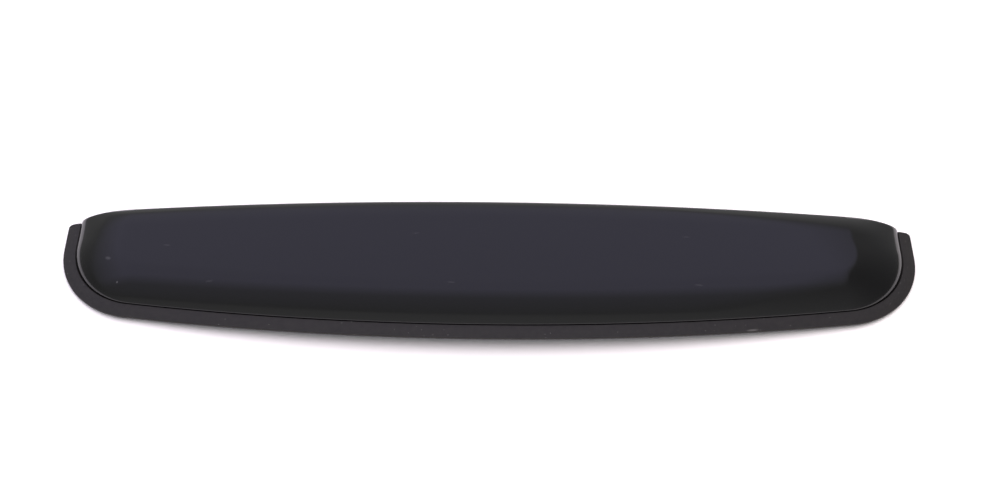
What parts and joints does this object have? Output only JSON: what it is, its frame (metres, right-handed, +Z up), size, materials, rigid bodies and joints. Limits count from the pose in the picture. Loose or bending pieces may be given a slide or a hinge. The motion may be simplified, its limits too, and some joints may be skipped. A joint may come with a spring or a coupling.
{
  "type": "sunroof wind deflector",
  "caption": "Long domed visor with rolled ends, standing in a rubber foot seal, bonded across a car roof ahead of the sunroof opening to lift the airflow over it.",
  "frame": {"origin": "middle of the base: halfway along and across the deflector, level with the seal's lowest edge", "axes": "+X along the deflector, across the car; +Y towards the back of the car; +Z up from the roof"},
  "size_m": [0.88, 0.1499, 0.056],
  "materials": {
    "smoked_acrylic": "polished thermoformed acrylic sheet, dark smoke tint",
    "seal_rubber": "matte extruded EPDM with a fine grain"
  },
  "bodies": {
    "root": {"visor_panel": "smoked_acrylic", "foot_seal": "seal_rubber"}
  },
  "joints": []
}
